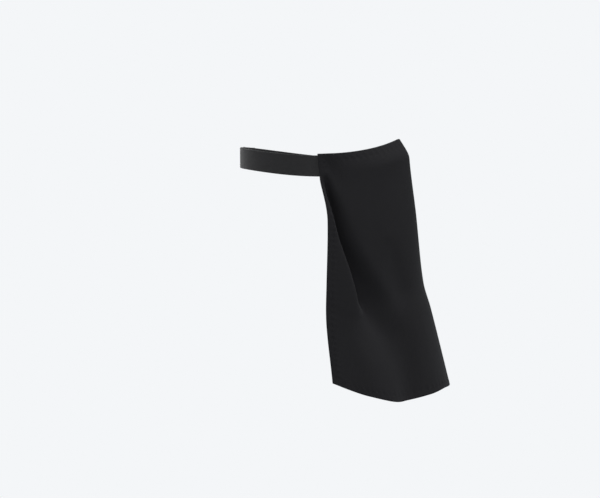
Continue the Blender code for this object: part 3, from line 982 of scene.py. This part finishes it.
class NIQAB_OT_veil(Operator):
    """Drape the veil: one sheet of crepe with turned hems and its folds"""

    bl_idname = "niqab.veil"
    bl_label = "Drape the veil"

    def execute(self, context):
        scene = context.scene
        stitch = scene.niqab_stitch
        drape = dressed(context)
        cloth = VeilCloth(drape, stitch)
        points, faces, flat = closed_sheet(cloth.outer, cloth.inner, cloth.flat)
        veil = add_mesh("draped_veil", points, faces, flat,
                        crepe_finish(scene.niqab_colours.crepe))
        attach(veil, "root")
        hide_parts("face_panel")
        lift = stitch.thread * THREAD_LIFT
        loops = [cloth.stitch_loop(cloth.outer, lift), cloth.stitch_loop(cloth.inner, -lift)]
        runs = [cloth.corner_run(side, drape, stitch, lift) for side in (-1, 1)]
        hem = sew("hem_stitches", loops, runs, stitch, scene.niqab_colours.thread)
        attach(hem, "root")
        width, length, area = cloth.flat_size()
        print("cut of the veil", round(width, 4), round(length, 4), round(area, 5))
        return {"FINISHED"}


class NIQAB_OT_straps(Operator):
    """Lay the two straps from the veil's corners round the back of the head"""

    bl_idname = "niqab.straps"
    bl_label = "Lay the straps"

    def execute(self, context):
        scene = context.scene
        drape = dressed(context)
        tape = tape_finish(scene.niqab_colours.tape)
        sizes, stitch = scene.niqab_strap, scene.niqab_stitch
        inset = stitch.inset
        for node, side, outer_layer in (("right_strap", -1, True), ("left_strap", 1, False)):
            outer, inner, flat, normal = strap_faces(drape, side, outer_layer)
            points, faces, uv = closed_sheet(outer, inner, flat)
            strap = add_mesh(node + "_tape", points, faces, uv, tape)
            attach(strap, "root")
            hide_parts(node)
            lift = normal * stitch.thread * THREAD_LIFT
            whole = flat[:, :, 0].max()
            sewn = [(sizes.sewn_length - inwards, down + sizes.set_down)
                    for inwards, down in sewn_box(drape, stitch)]
            closing = ((whole - sizes.overlap + 2.0 * inset, inset - sizes.width),
                       (whole - inset, -inset))
            closing_face = outer + lift if outer_layer else inner - lift
            loops = [np.concatenate(stitch_box(inner - lift, flat, sewn)),
                     np.concatenate(stitch_box(closing_face, flat, closing))]
            thread = sew(node + "_stitches", loops, [], stitch, scene.niqab_colours.thread)
            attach(thread, "root")
        return {"FINISHED"}


class NIQAB_OT_closure(Operator):
    """Press the hook and loop pad between the strap ends"""

    bl_idname = "niqab.closure"
    bl_label = "Close the straps"

    def execute(self, context):
        points, faces, flat = pad_shells(dressed(context))
        pad = add_mesh("closure_pad", points, faces, flat,
                       pad_finish(context.scene.niqab_colours.pad))
        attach(pad, "root")
        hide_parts("back_fastener")
        return {"FINISHED"}


class NIQAB_OT_studio(Operator):
    """Set up the pale floor, the soft lights and the camera"""

    bl_idname = "niqab.studio"
    bl_label = "Set up the studio"

    def lamp(self, name, place, aim, size, power):
        light = bpy.data.lights.new(name, "AREA")
        light.shape = "RECTANGLE"
        light.size, light.size_y = size
        light.energy = power
        item = bpy.data.objects.new(name, light)
        item.location = place
        item.rotation_euler = (Vector(aim) - Vector(place)).to_track_quat("-Z", "Y").to_euler()
        bpy.context.scene.collection.objects.link(item)

    def world(self, studio, backdrop):
        world = bpy.data.worlds.new("pale_studio")
        world.use_nodes = True
        tree = world.node_tree
        ground = tree.nodes["Background"].inputs
        path = add_node(tree, "ShaderNodeLightPath")
        seen = add_node(tree, "ShaderNodeMix", {"Factor": path, "A": studio.ambient, "B": 1.0})
        give(tree, ground["Color"], rgb(backdrop))
        give(tree, ground["Strength"], seen)
        bpy.context.scene.world = world

    def floor(self, studio, backdrop):
        bpy.ops.mesh.primitive_circle_add(
            vertices=FLOOR_SIDES, radius=FLOOR_RADIUS, fill_type="NGON",
            location=(0.0, 0.0, -studio.floor_below))
        floor = bpy.context.object
        floor.name = "studio_floor"
        paint = Finish("studio_paper")
        paint.set({"Base Color": rgb(backdrop, PAPER_SHADE), "Roughness": 0.9})
        place = paint.node("ShaderNodeTexCoord").outputs["Object"]
        far = paint.node("ShaderNodeVectorMath", {0: place}, operation="LENGTH")
        fade = paint.node("ShaderNodeMapRange", {
            "Value": far.outputs["Value"], "From Min": FLOOR_FADE[0],
            "From Max": FLOOR_FADE[1], "To Min": FLOOR_LEAST}, interpolation_type="SMOOTHSTEP")
        glow = paint.node("ShaderNodeEmission", {"Color": rgb(backdrop)})
        blend = paint.node("ShaderNodeMixShader", {0: fade, 1: paint.shader, 2: glow})
        path = paint.node("ShaderNodeLightPath")
        seen = paint.node("ShaderNodeMixShader", {0: path, 1: paint.shader, 2: blend})
        give(paint.tree, paint.output.inputs["Surface"], seen)
        floor.data.materials.append(paint.material)

    def execute(self, context):
        scene = context.scene
        studio = scene.niqab_studio
        drape = dressed(context)
        nose = Vector((0.0, drape.front, float(drape.top_height(0.0))))
        a, e = studio.azimuth, studio.elevation
        right = Vector((math.cos(a), math.sin(a), 0.0))
        back = Vector((math.sin(a) * math.cos(e), -math.cos(a) * math.cos(e), math.sin(e)))
        up = back.cross(right)
        aim = nose - right * studio.aside - up * studio.above
        lens = bpy.data.cameras.new("photo_camera")
        lens.sensor_width = SENSOR_WIDTH
        lens.lens = lens.sensor_width * studio.distance / studio.frame_width
        camera = bpy.data.objects.new("photo_camera", lens)
        camera.location = aim + back * studio.distance
        camera.rotation_euler = back.to_track_quat("Z", "Y").to_euler()
        scene.collection.objects.link(camera)
        scene.camera = camera
        for settings in LAMPS:
            self.lamp(*settings)
        self.world(studio, scene.niqab_colours.backdrop)
        self.floor(studio, scene.niqab_colours.backdrop)
        scene.view_settings.view_transform = "Standard"
        return {"FINISHED"}


class NIQAB_PT_panel(Panel):
    """The steps that make the half niqab"""

    bl_label = "Half Niqab"
    bl_idname = "NIQAB_PT_panel"
    bl_space_type = "VIEW_3D"
    bl_region_type = "UI"
    bl_category = "Half Niqab"

    def draw(self, context):
        for step in STEPS:
            self.layout.operator(step.bl_idname)
        for group in GROUPS:
            settings = getattr(context.scene, group)
            for key in settings.bl_rna.properties.keys():
                if key not in ("name", "rna_type"):
                    self.layout.prop(settings, key)


GROUPS = {
    "niqab_veil": VeilSizes,
    "niqab_strap": StrapSizes,
    "niqab_stitch": StitchSizes,
    "niqab_colours": FinishColours,
    "niqab_studio": StudioSizes,
}
STEPS = (NIQAB_OT_veil, NIQAB_OT_straps, NIQAB_OT_closure, NIQAB_OT_studio)


def register():
    for group in GROUPS.values():
        bpy.utils.register_class(group)
    for step in STEPS:
        bpy.utils.register_class(step)
    bpy.utils.register_class(NIQAB_PT_panel)
    for name, group in GROUPS.items():
        setattr(bpy.types.Scene, name, PointerProperty(type=group))


def unregister():
    for name in GROUPS:
        delattr(bpy.types.Scene, name)
    bpy.utils.unregister_class(NIQAB_PT_panel)
    for step in reversed(STEPS):
        bpy.utils.unregister_class(step)
    for group in reversed(list(GROUPS.values())):
        bpy.utils.unregister_class(group)


def main():
    register()
    bpy.ops.niqab.veil()
    bpy.ops.niqab.straps()
    bpy.ops.niqab.closure()
    bpy.ops.niqab.studio()


if __name__ == "__main__":
    main()
